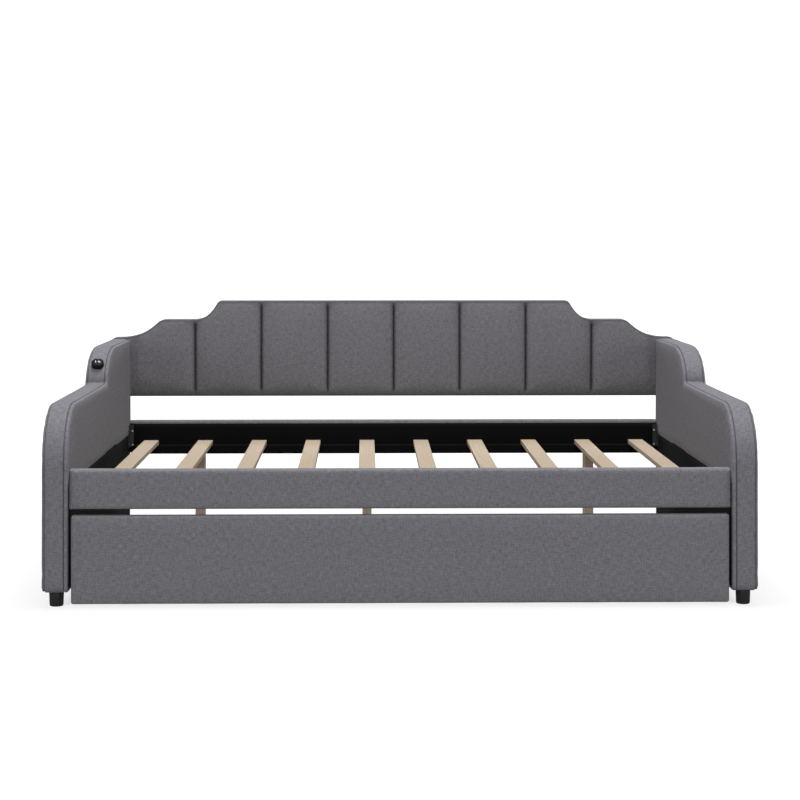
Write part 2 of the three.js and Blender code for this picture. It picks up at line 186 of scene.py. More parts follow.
class Finish:
    """One node material: a Principled shader whose uniform values are set on its own sockets."""

    def __init__(self, name, uniform):
        self.material = bpy.data.materials.new(name)
        self.material.use_nodes = True
        self.tree = self.material.node_tree
        self.shader = next(n for n in self.tree.nodes if n.type == "BSDF_PRINCIPLED")
        for socket, value in uniform.items():
            self.shader.inputs[socket].default_value = value

    def node(self, kind, settings=None, sockets=None):
        """Adds a node, sets its settings and then its sockets, from values or links."""
        node = self.tree.nodes.new(kind)
        for key, value in (settings or {}).items():
            if key == "stops":
                for element, (place, shade) in zip(self.stops(node, len(value)), value):
                    element.position, element.color = place, (*shade, 1.0)
            else:
                setattr(node, key, value)
        for key, value in (sockets or {}).items():
            self.feed(node.inputs[key], value)
        return node

    @staticmethod
    def stops(node, count):
        elements = node.color_ramp.elements
        while len(elements) < count:
            elements.new(0.5)
        return elements

    def feed(self, socket, value):
        if isinstance(value, Value):
            value = value.socket
        if isinstance(value, bpy.types.NodeSocket):
            self.tree.links.new(value, socket)
        else:
            socket.default_value = value

    def out(self, node, output=0):
        return Value(self, node.outputs[output])

    def split(self, vector):
        """The three numbers of a vector."""
        node = self.node("ShaderNodeSeparateXYZ", sockets={0: vector})
        return [self.out(node, k) for k in range(3)]

    def stretch(self, vector, scale):
        """A vector with each of its parts multiplied by a number."""
        settings = {"operation": "MULTIPLY"}
        return self.out(self.node("ShaderNodeVectorMath", settings, {0: vector, 1: scale}))

    def noise(self, vector, scale=1.0, detail=2.0, roughness=0.5):
        """Smooth noise from 0 to 1."""
        return self.out(self.node("ShaderNodeTexNoise", sockets={
            "Vector": vector, "Scale": scale, "Detail": detail, "Roughness": roughness}), "Fac")

    def ramp(self, value, stops):
        return self.out(self.node("ShaderNodeValToRGB", {"stops": stops}, {0: value}))

    def tint(self, shade, value):
        """A colour multiplied by a number."""
        grey = self.out(self.node("ShaderNodeCombineColor", sockets={0: value, 1: value, 2: value}))
        multiply = {"data_type": "RGBA", "blend_type": "MULTIPLY"}
        return self.out(self.node("ShaderNodeMix", multiply, {0: 1.0, 6: (*shade, 1.0), 7: grey}), 2)

    def object_place(self):
        return self.out(self.node("ShaderNodeTexCoord"), "Object")

    def attribute(self, name, output="Fac"):
        return self.out(self.node("ShaderNodeAttribute", {"attribute_name": name}), output)

    def bump(self, height, distance, strength=1.0):
        """Height in metres as a share of the distance, seen as a bend of the surface."""
        self.set("Normal", self.out(self.node("ShaderNodeBump", sockets={
            "Height": height, "Distance": distance, "Strength": strength})))

    def set(self, socket, value):
        self.feed(self.shader.inputs[socket], value)


def settings():
    """The four groups of sizes, in the order upholstery, timber, hardware and stage."""
    scene = bpy.context.scene
    return scene.daybed_upholstery, scene.daybed_timber, scene.daybed_hardware, scene.daybed_stage


def once(make):
    """Makes a finish the first time that it is asked for, and gives the same one after that."""
    made = {}

    def give():
        if make not in made:
            made[make] = make()
        return made[make]
    return give


@once
def woven_cloth():
    """A basket weave on the cloth's own coordinates: threads go over and under each other, and each
    yarn is a little thicker and darker or thinner and paler along its length; seams get painted shade."""
    sizes = settings()[0]
    f = Finish("woven_cloth", {"Roughness": 0.92, "Specular IOR Level": 0.12, "Sheen Weight": 0.03,
                               "Sheen Roughness": 0.45})
    place = f.out(f.node("ShaderNodeUVMap", {"uv_map": "cloth"}))
    u, v, _ = f.split(place)
    across = (u * (math.pi / sizes.thread_pitch)).sine()
    along = (v * (math.pi / sizes.thread_pitch)).sine()
    over = (across * along * 1.6 + 0.5).clamped()
    height = over * across.size() + (1.0 - over) * along.size()
    warp = f.noise(f.stretch(place, (260.0, 60.0, 1.0)), detail=2.0)
    weft = f.noise(f.stretch(place, (60.0, 260.0, 1.0)), detail=2.0)
    fleck = f.noise(place, 330.0, 1.0)
    yarn = (warp - 0.5) * 0.75 + (weft - 0.5) * 0.75 + (fleck - 0.5) * 0.6
    worn = f.noise(f.object_place(), 6.0, 2.0)
    slub = f.noise(place, 55.0, 2.0)
    # painted shade: the seam weights darken the cloth in the arms' seam grooves, in the backrest's valleys
    # and along the backrest's top and bottom edges
    sewn = f.attribute("sewn")
    shade = yarn + 0.86 + height * 0.20 + (worn - 0.5) * 0.06 + (slub - 0.5) * 0.16
    f.set("Base Color", f.tint(sizes.cloth, shade * (1.0 - sewn * 0.85)))
    f.bump(height * 0.7 + yarn * 0.8, 0.0004, 0.7)
    return f.material


@once
def black_lining():
    """Non-woven polypropylene: short fibres pressed into a faint grid of dimples."""
    sizes = settings()[0]
    f = Finish("black_lining", {"Roughness": 0.9, "Specular IOR Level": 0.1})
    place = f.object_place()
    fibres = f.noise(place, 420.0, 4.0, 0.7)
    f.set("Base Color", f.tint(sizes.lining, fibres * 0.9 + 0.55))
    f.bump(fibres, 0.0003, 0.5)
    return f.material


def grained(name, pale, dark, ring, contrast, inside=False):
    """Wood with growth rings round a pith outside the plank: a wave in the distance from it, bent by
    noise drawn out along the plank, with fine fibres and slow changes of tone."""
    f = Finish(name, {"Specular IOR Level": 0.3})
    place = f.object_place() if inside else f.attribute("grain", "Vector")
    along, b, c = f.split(place)
    bend = f.noise(f.stretch(place, (2.2, 14.0, 14.0)), detail=2.0)
    distance = (b * b + c * c) ** 0.5 + (bend - 0.5) * 0.022
    wave = (distance * (2.0 * math.pi / ring)).sine() * 0.5 + 0.5
    late = wave ** 3.0
    fibre = f.noise(f.stretch(place, (14.0, 950.0, 950.0)), detail=2.0)
    tone = f.noise(f.stretch(place, (1.6, 9.0, 9.0)), detail=1.0)
    mixed = late * contrast + (fibre - 0.5) * 0.34 + (tone - 0.5) * 0.55 + 0.10
    f.set("Base Color", f.ramp(mixed.clamped(), [(0.0, tuple(pale)), (1.0, tuple(dark))]))
    f.set("Roughness", 0.58 + fibre * 0.22)
    f.bump(fibre * 0.7 + late * 0.3, 0.0003, 0.6)
    return f.material


@once
def planed_pine():
    timber = settings()[1]
    return grained("planed_pine", timber.pine, timber.late, 0.0065, 0.38)


@once
def plywood():
    timber = settings()[1]
    return grained("plywood", timber.ply, [0.62 * x for x in timber.ply], 0.012, 0.45)


@once
def core_board():
    timber = settings()[1]
    return grained("core_board", timber.ply, [0.62 * x for x in timber.ply], 0.012, 0.45, inside=True)


def plastic(name, gloss, rough):
    """Black plastic with the fine spark texture of a mould."""
    hardware = settings()[2]
    f = Finish(name, {"Specular IOR Level": gloss})
    spark = f.noise(f.object_place(), 1600.0, 1.0)
    smear = f.noise(f.object_place(), 45.0, 3.0)
    f.set("Base Color", f.tint(hardware.plastic, 0.8 + smear * 0.4))
    f.set("Roughness", rough + smear * 0.16)
    f.bump(spark, 0.00008, 0.5)
    return f.material


@once
def satin_plastic():
    return plastic("satin_plastic", 0.45, 0.40)


@once
def matt_plastic():
    return plastic("matt_plastic", 0.14, 0.50)


@once
def powder_coat():
    """Black powder coat with its orange peel."""
    hardware = settings()[2]
    f = Finish("powder_coat", {"Specular IOR Level": 0.5})
    peel = f.noise(f.object_place(), 900.0, 2.0)
    dust = f.noise(f.object_place(), 60.0, 3.0)
    f.set("Base Color", f.tint(hardware.steel, 0.75 + dust * 0.5))
    f.set("Roughness", 0.42 + dust * 0.2)
    f.bump(peel, 0.00015, 0.6)
    return f.material


@once
def zinc_plate():
    """Bright zinc over drawn steel: faint cloudy patches and fine scratches."""
    hardware = settings()[2]
    f = Finish("zinc_plate", {"Metallic": 1.0})
    cloud = f.noise(f.object_place(), 130.0, 3.0)
    scratch = f.noise(f.stretch(f.object_place(), (300.0, 2600.0, 300.0)), detail=1.0)
    f.set("Base Color", f.tint(hardware.zinc, 0.8 + cloud * 0.35))
    f.set("Roughness", 0.22 + cloud * 0.2 + scratch * 0.1)
    f.bump(scratch, 0.00006, 0.5)
    return f.material


@once
def tread_rubber():
    """Moulded tread with dust in it."""
    hardware = settings()[2]
    f = Finish("tread_rubber", {"Specular IOR Level": 0.35})
    dust = f.noise(f.object_place(), 80.0, 4.0, 0.65)
    f.set("Base Color", f.tint(hardware.tyre, 0.7 + dust * 0.9))
    f.set("Roughness", 0.55 + dust * 0.3)
    f.bump(dust, 0.0002, 0.4)
    return f.material


# Meshes from grids ---------------------------------------------------------------------------

def patch(points, uv=None, sewn=None):
    """A grid of points, rows by columns, with its cloth coordinates in metres and its seam weights, which
    hold the seams while a cover swells and darken the cloth there as painted shade.
    """
    points = np.asarray(points, float)
    uv = np.zeros(points.shape[:2] + (2,)) if uv is None else np.broadcast_to(uv, points.shape[:2] + (2,))
    sewn = np.zeros(points.shape[:2]) if sewn is None else np.broadcast_to(sewn, points.shape[:2])
    return points, uv, sewn


def turn_outwards(mesh):
    """Welds points that lie together and turns the faces outwards."""
    work = bmesh.new()
    work.from_mesh(mesh)
    bmesh.ops.remove_doubles(work, verts=work.verts, dist=WELD)
    bmesh.ops.recalc_face_normals(work, faces=work.faces)
    work.to_mesh(mesh)
    work.free()


def make_piece(name, patches, finish):
    """Joins grids into one closed mesh: quads between neighbouring points, shared points welded, faces
    turned outwards."""
    quads, first = [], 0
    for points, _, _ in patches:
        index = first + np.arange(points.shape[0] * points.shape[1]).reshape(points.shape[:2])
        corners = [index[:-1, :-1], index[:-1, 1:], index[1:, 1:], index[1:, :-1]]
        quads.append(np.stack(corners, -1).reshape(-1, 4))
        first += index.size
    quads = np.concatenate(quads)
    mesh = bpy.data.meshes.new(name)
    mesh.from_pydata(np.concatenate([p.reshape(-1, 3) for p, _, _ in patches]), [], quads)
    uv = np.concatenate([u.reshape(-1, 2) for _, u, _ in patches])[quads.ravel()]
    mesh.uv_layers.new(name="cloth").data.foreach_set("uv", uv.ravel())
    sewn = np.concatenate([s.ravel() for _, _, s in patches])
    mesh.attributes.new("sewn", "FLOAT", "POINT").data.foreach_set("value", sewn)
    turn_outwards(mesh)
    mesh.shade_smooth()
    mesh.materials.append(finish)
    piece = bpy.data.objects.new(name, mesh)
    bpy.context.scene.collection.objects.link(piece)
    return piece


def read_points(piece):
    points = np.empty(len(piece.data.vertices) * 3)
    piece.data.vertices.foreach_get("co", points)
    return points.reshape(-1, 3)


def write_points(piece, points):
    piece.data.vertices.foreach_set("co", points.ravel())
    piece.data.update()


def settle(piece, body, nodes):
    """Says what a piece moves with and what it stands for."""
    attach(piece, body)
    if nodes:
        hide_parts(*nodes)


def swell(piece, cap, stapled):
    """Lets air pressure push a sewn cover out as a cloth bag, for at most cap, with its seams and its
    stapled points held."""
    before = read_points(piece)
    sewn = np.empty(len(before))
    piece.data.attributes["sewn"].data.foreach_get("value", sewn)
    seams = piece.vertex_groups.new(name="seams")
    # points with a seam weight over a half lie on the seams and are held
    seams.add(np.flatnonzero(stapled | (sewn > 0.5)).tolist(), 1.0, "REPLACE")
    bag = piece.modifiers.new("Swell", "CLOTH")
    bag.settings.vertex_group_mass = seams.name
    bag.settings.use_pressure = True
    bag.settings.uniform_pressure_force = 4.0
    bag.settings.effector_weights.gravity = 0.0
    bag.point_cache.frame_start = 1
    bag.point_cache.frame_end = SWELL_FRAMES
    for number in range(1, SWELL_FRAMES + 1):
        bpy.context.scene.frame_set(number)
    shape = piece.evaluated_get(bpy.context.evaluated_depsgraph_get()).data
    after = np.empty(before.size)
    shape.vertices.foreach_get("co", after)
    moved = after.reshape(-1, 3) - before
    far = np.linalg.norm(moved, axis=1, keepdims=True)
    piece.modifiers.remove(bag)
    piece.vertex_groups.remove(seams)
    bpy.context.scene.frame_set(1)
    write_points(piece, before + moved * (cap * np.tanh(far / cap) / np.maximum(far, 1e-9)))


def subdivide(piece):
    finer = piece.modifiers.new("Smooth", "SUBSURF")
    finer.levels = 1
    finer.render_levels = 1


def thicken(piece, thickness):
    wall = piece.modifiers.new("Thickness", "SOLIDIFY")
    wall.thickness = thickness
    wall.offset = 0.0


def refinish(node, finish):
    """Gives a CAD node that stays a finish of its own."""
    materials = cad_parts[node].data.materials
    materials.clear()
    materials.append(finish)


def close_off(ring):
    """Closes a ring of points to its middle."""
    return patch(np.stack([ring, np.broadcast_to(ring.mean(0), ring.shape)]))


def circle(turn):
    """Unit directions at angles in radians."""
    return np.stack([np.cos(turn), np.sin(turn)], -1)


def arc(centre, radii, start, end, steps=12):
    """Points on an ellipse between two angles in degrees."""
    return np.array(centre) + np.array(radii) * circle(np.radians(np.linspace(start, end, steps + 1)))


def resample(path, count, corner):
    """Spaces points along a path evenly in its length plus corner metres for each radian it turns."""
    path = path[np.r_[True, np.linalg.norm(np.diff(path, axis=0), axis=1) > WELD]]
    step = np.diff(path, axis=0)
    heading = np.unwrap(np.arctan2(step[:, 1], step[:, 0]))
    turn = np.r_[0.0, np.abs(np.diff(heading)), 0.0]
    weight = np.linalg.norm(step, axis=1) + corner * (turn[:-1] + turn[1:]) / 2
    measure = np.r_[0.0, np.cumsum(weight)]
    want = np.linspace(0.0, measure[-1], count)
    return np.stack([np.interp(want, measure, path[:, k]) for k in (0, 1)], -1)


def closed_normals(loop):
    """Outward directions at the points of a closed anticlockwise loop."""
    along = np.roll(loop, -1, 0) - np.roll(loop, 1, 0)
    along /= np.linalg.norm(along, axis=1, keepdims=True)
    return np.stack([along[:, 1], -along[:, 0]], -1)


def run_length(loop):
    """Distance along a path from its first point to each of its points."""
    return np.r_[0.0, np.cumsum(np.linalg.norm(np.diff(loop, axis=0), axis=1))]


def coons(bottom, rear, top, front):
    """A grid between four sides: the two straight blends of facing sides, added, less the blend of the
    four corners. Bottom and top run front to rear, front and rear run upwards."""
    s = np.linspace(0, 1, len(bottom))[None, :, None]
    t = np.linspace(0, 1, len(front))[:, None, None]
    blend = (1 - t) * bottom[None] + t * top[None] + (1 - s) * front[:, None] + s * rear[:, None]
    low_corners = (1 - t) * ((1 - s) * bottom[0] + s * bottom[-1])
    high_corners = t * ((1 - s) * top[0] + s * top[-1])
    return blend - low_corners - high_corners


def rounded_loop(half, radius, steps, spacing=None):
    """Cores and directions round a rectangle with quarter-round corners: a point is its core plus the
    radius times its direction. Its sides hold points at the spacing, or only close to the corners."""
    corners = (np.array(half) - radius) * [[1, 1], [-1, 1], [-1, -1], [1, -1]]
    cores, ways = [], []
    for k in range(4):
        turn = np.linspace(k, k + 1, steps + 1) * math.pi / 2
        here, there = corners[k], corners[(k + 1) % 4]
        side = np.linalg.norm(there - here)
        if spacing:
            part = np.linspace(0, 1, max(2, round(side / spacing)) + 1)[1:-1]
        else:
            part = np.array([HOLD, side - HOLD]) / side
        cores += [np.repeat(here[None], steps + 1, 0), here + part[:, None] * (there - here)]
        ways += [circle(turn), np.repeat(circle(turn[-1:]), len(part), 0)]
    cores, ways = np.concatenate(cores), np.concatenate(ways)
    return np.r_[cores, cores[:1]], np.r_[ways, ways[:1]]


def bar(low, high, along, radius, steps=3, spacing=None):
    """A bar with all its edges rounded: a rounded rectangle carried along one axis, shrinking at each
    end by as much as the quarter circle of its end edge, with each end closed to its middle."""
    low, high = np.array(low, float), np.array(high, float)
    others = [k for k in range(3) if k != along]
    cores, ways = rounded_loop((high - low)[others] / 2, radius, steps, spacing)
    turn = np.linspace(0, math.pi / 2, steps + 1)
    start = np.r_[0.0, radius * (1 - np.cos(turn))]
    shrink = np.r_[radius + HOLD, radius * (1 - np.sin(turn))]
    total = high[along] - low[along]
    inner = np.array([radius + HOLD, total - radius - HOLD])
    if spacing:
        inner = np.linspace(radius + HOLD, total - radius - HOLD, max(2, round(total / spacing)))
    place = np.r_[start, inner, total - start[::-1]]
    shrink = np.r_[shrink, np.zeros(len(inner)), shrink[::-1]]
    ring = cores[None] + (radius - shrink)[:, None, None] * ways[None]
    points = np.empty(ring.shape[:2] + (3,))
    points[..., along] = low[along] + place[:, None]
    points[..., others] = (low + high)[others] / 2 + ring
    around = run_length(cores + radius * ways)
    uv = np.stack(np.broadcast_arrays(place[:, None], around[None]), -1)
    ends = []
    for row, at in ((0, low), (-1, high)):
        middle = points[row].mean(0)
        middle[along] = at[along]
        ends.append(patch(np.stack([points[row], np.broadcast_to(middle, points[row].shape)])))
    return [patch(points, uv)] + ends


def turned(profile, steps, origin, axis=(0.0, 0.0, 1.0)):
    """A profile of (radius, height) carried round an axis through a point."""
    profile = np.array(profile, float)
    axis = np.array(axis) / np.linalg.norm(axis)
    side = np.cross(axis, (1.0, 0.0, 0.0) if abs(axis[0]) < 0.9 else (0.0, 1.0, 0.0))
    side /= np.linalg.norm(side)
    turn = circle(np.linspace(0, 2 * math.pi, steps + 1))
    spoke = turn[:, :1] * side + turn[:, 1:] * np.cross(axis, side)
    points = profile[:, None, :1] * spoke[None] + profile[:, None, 1:] * axis + np.array(origin)
    return patch(points)


def mark_grain(piece, along, order):
    """Writes each point's place in the plank's own wood: along it, and from a pith that each plank
    has somewhere else."""
    points = read_points(piece)
    others = [k for k in range(3) if k != along]
    draw = np.random.default_rng(977 + order)
    pith = draw.uniform(0.02, 0.07, 2) * draw.choice([-1, 1], 2)
    wood = np.c_[points[:, along] + draw.uniform(0, 9), points[:, others] - points[:, others].mean(0) + pith]
    piece.data.attributes.new("grain", "FLOAT_VECTOR", "POINT").data.foreach_set("vector", wood.ravel())


def plank(name, node, along, finish, order, body):
    """A board with rounded edges in a node's place."""
    low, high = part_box(node)
    piece = make_piece(name, bar(low, high, along, settings()[1].edge), finish)
    mark_grain(piece, along, order)
    settle(piece, body, [node])
    return piece


# Operators -----------------------------------------------------------------------------------

class DAYBED_OT_stage(bpy.types.Operator):
    """Make the camera, the lights, the surroundings and the floor"""
    bl_idname = "daybed.stage"
    bl_label = "Stage"

    def execute(self, context):
        stage = context.scene.daybed_stage
        scene = bpy.context.scene
        eye = bpy.data.objects.new("Eye", bpy.data.cameras.new("Eye"))
        eye.location = (-stage.eye_side, -stage.eye_distance, stage.eye_height)
        eye.rotation_euler = (math.radians(90.0), 0.0, math.radians(-1.04))
        eye.data.lens = stage.lens
        eye.data.sensor_width = 36.0
        eye.data.shift_y = -0.211
        scene.collection.objects.link(eye)
        scene.camera = eye
        scene.view_settings.view_transform = "Standard"
        self.surroundings(scene, stage)
        self.lamp("Overhead", stage.overhead, (3.0, 3.0), (0.0, 0.0, 7.0))
        self.lamp("Front", stage.front_light, (4.0, 2.5), (0.0, -6.0, 2.8))
        self.lamp("Rear", stage.rear_light, (4.0, 2.5), (0.0, 7.5, 3.0))
        for side, sign in SIDES.items():
            self.lamp(f"Side {side}", stage.side_light, (2.5, 2.0), (sign * 6.5, -4.6, 2.2))
        u, v = np.meshgrid(np.linspace(-30, 30, 61), np.linspace(-30, 30, 61), indexing="ij")
        floor = make_piece("studio_floor", [patch(np.stack([u, v, 0 * u - 0.0005], -1))], self.sweep(stage))
        return {"FINISHED"}

    def surroundings(self, scene, stage):
        """A dim even sky for the light, with a white one behind the object."""
        world = bpy.data.worlds.new("Studio")
        world.use_nodes = True
        tree = world.node_tree
        choose = tree.nodes.new("ShaderNodeMixShader")
        ray = tree.nodes.new("ShaderNodeLightPath")
        tree.links.new(ray.outputs["Is Camera Ray"], choose.inputs[0])
        for slot, strength in ((1, stage.sky), (2, stage.backdrop)):
            shine = tree.nodes.new("ShaderNodeBackground")
            shine.inputs["Color"].default_value = WHITE
            shine.inputs["Strength"].default_value = strength
            tree.links.new(shine.outputs[0], choose.inputs[slot])
        tree.links.new(choose.outputs[0], tree.nodes["World Output"].inputs[0])
        scene.world = world

    def lamp(self, name, power, size, place):
        """A soft rectangular light, aimed at the middle of the object."""
        light = bpy.data.lights.new(name, "AREA")
        light.shape = "RECTANGLE"
        light.energy = power
        light.size, light.size_y = size
        hung = bpy.data.objects.new(name, light)
        aim = Vector((0.0, 0.0, 0.4)) - Vector(place)
        hung.location = place
        hung.rotation_euler = aim.to_track_quat("-Z", "Y").to_euler()
        bpy.context.scene.collection.objects.link(hung)

    def sweep(self, stage):
        """A pale floor that takes soft shadows close to the object and runs out into plain white."""
        f = Finish("studio_floor", {"Roughness": 0.9, "Specular IOR Level": 0.1})
        f.set("Base Color", f.tint(stage.floor, 0.99 + f.noise(f.object_place(), 3.0) * 0.02))
        x, y, _ = f.split(f.object_place())
        beside = (x.size() - 0.86).largest(y.size() - 0.58) / 0.14
        far = ((x * x + y * y) ** 0.5 - 1.4) / 1.6
        seen = f.out(f.node("ShaderNodeLightPath"), "Is Camera Ray")
        glow = f.node("ShaderNodeEmission", sockets={
            "Color": WHITE, "Strength": seen * (stage.white - stage.bounce) + stage.bounce})
        plain = beside.clamped() * stage.glow + far.clamped() * (1.0 - stage.glow)
        mix = f.node("ShaderNodeMixShader", sockets={0: plain, 1: f.shader.outputs[0], 2: glow.outputs[0]})
        output = next(n for n in f.tree.nodes if n.type == "OUTPUT_MATERIAL")
        f.tree.links.new(mix.outputs[0], output.inputs[0])
        return f.material


class DAYBED_OT_arm_covers(bpy.types.Operator):
    """Make the two padded arm covers, with their bands and seams"""
    bl_idname = "daybed.arm_covers"
    bl_label = "Arm covers"

    def execute(self, context):
        cloth = context.scene.daybed_upholstery
        low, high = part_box("left_arm")
        patches = arm_patches(arm_sides(low, high), -high[0], -low[0], cloth)
        left = make_piece("arm_cover_left", patches, woven_cloth())
        points = read_points(left)
        swell(left, cloth.swell, (points[:, 0] > high[0] - 0.002) & (points[:, 2] < cloth.lining_top + 0.004))
        right = mirrored(left, "arm_cover_right")
        for piece, side in ((left, "left"), (right, "right")):
            subdivide(piece)
            settle(piece, "daybed", [f"{side}_arm"])
        return {"FINISHED"}


def mirrored(piece, name):
    """A copy of a piece on the other side of the middle, with its faces turned outwards again."""
    mesh = piece.data.copy()
    mesh.name = name
    twin = bpy.data.objects.new(name, mesh)
    bpy.context.scene.collection.objects.link(twin)
    write_points(twin, read_points(twin) * [-1.0, 1.0, 1.0])
    turn_outwards(mesh)
    return twin


ARM_STEP_FOOT, ARM_STEP_HEAD = 0.858, 1.080      # depth at which the arm starts and stops rising
ARM_LOW_TOP, ARM_NOSE = 0.581, 0.168
ARM_HEEL, ARM_SHOULDER, ARM_CROOK = 0.018, 0.016, 0.008
ARM_SLACK = 0.0002


def arm_sides(low, high):
    """The arm's outline, as four sides of (depth, height) that start and end half way round its corners:
    a nose of large radius, a quarter ellipse up to the higher rear, and small corners elsewhere."""
    front, rear = low[1] + ARM_SLACK, high[1] - ARM_SLACK
    foot, top = low[2] + ARM_SLACK, high[2] - ARM_SLACK
    heel, shoulder, nose = ARM_HEEL, ARM_SHOULDER, ARM_NOSE
    low_top = ARM_LOW_TOP - ARM_SLACK
    riser, brow = low[1] + ARM_STEP_FOOT, low[1] + ARM_STEP_HEAD
    spring = low_top + ARM_CROOK
    bottom = np.r_[arc((front + heel, foot + heel), (heel, heel), 225, 270),
                   arc((rear - heel, foot + heel), (heel, heel), 270, 315)]
    back = np.r_[arc((rear - heel, foot + heel), (heel, heel), 315, 360),
                 arc((rear - shoulder, top - shoulder), (shoulder, shoulder), 0, 45)]
    over = np.r_[arc((rear - shoulder, top - shoulder), (shoulder, shoulder), 45, 90),
                 arc((brow, spring), (brow - riser, top - spring), 90, 180, 40),
                 arc((riser - ARM_CROOK, spring), (ARM_CROOK, ARM_CROOK), 0, -90, 6),
                 arc((front + nose, low_top - nose), (nose, nose), 90, 135, 20)]
    face = np.r_[arc((front + nose, low_top - nose), (nose, nose), 135, 180, 20),
                 arc((front + heel, foot + heel), (heel, heel), 180, 225)]
    long, short = 118, 46
    return [resample(bottom, long, 0.05), resample(back, short, 0.05),
            resample(over, long, 0.05), resample(face, short, 0.05)]


def arm_patches(sides, inner, outer, cloth):
    """The left arm, as two flat sides joined by a band: each section of the band goes from one side round
    the edge roll, down into the seam's groove, across the band and back."""
    bottom, back, over, face = sides
    loop = np.concatenate([bottom[:-1], back[:-1], over[:-1], face[:-1]])
    out = closed_normals(loop)
    width = outer - inner
    roll = circle(np.radians(np.linspace(180, 90, 6))) * cloth.roll + [cloth.roll, -cloth.roll]
    groove = np.array([[-1.7, 0.0], [-1.0, -0.06], [-0.5, -0.8], [0.0, -1.0],
                       [0.5, -0.8], [1.0, -0.06], [1.9, 0.0]]) * [cloth.seam_width / 2, cloth.seam_depth]
    near = np.r_[roll[:-1], groove + [cloth.inner_seam, 0.0]]
    far = np.r_[roll[:-1], groove + [cloth.outer_seam, 0.0]]
    far = far[::-1] * [-1.0, 1.0] + [width, 0.0]
    across = np.linspace(near[-1, 0], far[0, 0], 9)[1:-1]
    section = np.r_[near, np.c_[across, 0 * across], far]
    section[:, 0] = ARM_SLACK + section[:, 0] * (1 - 2 * ARM_SLACK / width)
    seam_shade = np.zeros(len(section))
    # seam weights: they hold the seam rings while the cover swells and give painted shade in each seam's
    # groove
    for seam in (len(roll) + 2, len(section) - len(roll) - 3):
        seam_shade[seam - 1:seam + 2] = 0.4, 0.72, 0.4
    wrap = np.r_[np.arange(len(loop)), 0]
    rings = loop[None, wrap] + section[:, None, 1:] * out[None, wrap]
    reach = inner + np.broadcast_to(section[:, None, :1], rings.shape[:2] + (1,))
    points = np.concatenate([-reach, rings], -1)
    uv = np.stack(np.broadcast_arrays(run_length(loop[wrap])[None], run_length(section)[:, None]), -1)
    patches = [patch(points, uv, np.broadcast_to(seam_shade[:, None], rings.shape[:2]))]
    long, short = len(bottom) - 1, len(back) - 1
    for row in (0, -1):
        ring = rings[row]
        side = coons(ring[:long + 1], ring[long:long + short + 1],
                     ring[long + short:2 * long + short + 1][::-1], ring[2 * long + short:][::-1])
        x = np.full(side.shape[:2] + (1,), points[row, 0, 0])
        patches.append(patch(np.concatenate([x, side], -1), side))
    return patches


class DAYBED_OT_arm_linings(bpy.types.Operator):
    """Make the black lining on the lower part of each arm's inner side"""
    bl_idname = "daybed.arm_linings"
    bl_label = "Arm linings"

    def execute(self, context):
        cloth = context.scene.daybed_upholstery
        for side, sign in SIDES.items():
            low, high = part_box(f"{side}_arm")
            inner = min(abs(low[0]), abs(high[0]))
            y = np.linspace(low[1] + 0.020, high[1] - 0.016, 60)
            z = np.linspace(low[2] + 0.012, cloth.lining_top, 14)
            sheet_piece(f"arm_lining_{side}", y, z, lambda b, c, s=sign: (s * (inner - 0.0006) + 0 * b, b, c),
                        cloth, "daybed")
        return {"FINISHED"}


def sheet_piece(name, first, second, place, cloth, body):
    """A lining stretched over a flat area: a grid of its two directions, given its thickness."""
    b, c = np.meshgrid(first, second, indexing="ij")
    piece = make_piece(name, [patch(np.stack(place(b, c), -1), np.stack([b, c], -1))], black_lining())
    thicken(piece, cloth.sheet)
    settle(piece, body, [])
    return piece


CROWN = [(0.635, 0.834), (0.647, 0.825), (0.666, 0.793), (0.685, 0.7655), (0.735, 0.7655), (0.838, 0.7655)]
SHOULDER_ROUND, SHOULDER_LOW, BACK_CORNER = 0.038, 0.700, 0.020


def backrest_top(x):
    """Height of the backrest's top edge: a flat crown, a curve down to a ledge, and a rounded drop that
    scoops out to the low shoulder over the arms."""
    x = np.abs(x)
    (x0, z0), (x1, z1), (x2, z2), (x3, z3), (x4, z4), (x5, z5) = CROWN
    t = np.linspace(0, 1, 24)
    rim = np.c_[(1 - t) ** 2 * x0 + 2 * t * (1 - t) * (x0 + 0.008) + t ** 2 * x1,
                (1 - t) ** 2 * z0 + 2 * t * (1 - t) * z0 + t ** 2 * z1]
    fall = ((1 - t) ** 3)[:, None] * [x1, z1] + (3 * t * (1 - t) ** 2)[:, None] * [x2, z2]
    fall = fall + (3 * t ** 2 * (1 - t))[:, None] * [x3, z3] + (t ** 3)[:, None] * [x4, z4]
    scoop = (z5 - SHOULDER_LOW) / (1 - math.cos(math.pi / 4)) - SHOULDER_ROUND
    turn = math.pi / 4 * t
    drop = np.c_[x5 + SHOULDER_ROUND * np.sin(turn), z5 - SHOULDER_ROUND * (1 - np.cos(turn))]
    foot = drop[-1] + scoop * np.array([math.sin(math.pi / 4), -(1 - math.cos(math.pi / 4))])
    rest = np.c_[foot[0] - scoop * np.sin(turn[::-1]), SHOULDER_LOW + scoop * (1 - np.cos(turn[::-1]))]
    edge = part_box("backrest_pad")[1][0]
    corner = arc((edge - BACK_CORNER, SHOULDER_LOW - BACK_CORNER), (BACK_CORNER, BACK_CORNER), 90, 0)
    line = np.r_[[[0.0, z0]], rim, fall, drop, rest, corner]
    return np.interp(x, line[:, 0], line[:, 1])


SEAMS = np.array([0.0, 0.242, 0.485, 0.727])     # from the middle outwards
BACK_END = 0.003                                 # rounding of the backrest's ends


def roll_over(distance, reach):
    """A quarter circle's rise from 0 at the edge to 1 at the reach."""
    part = np.clip(distance / reach, 0, 1)
    return np.sqrt(1 - (1 - part) ** 2)


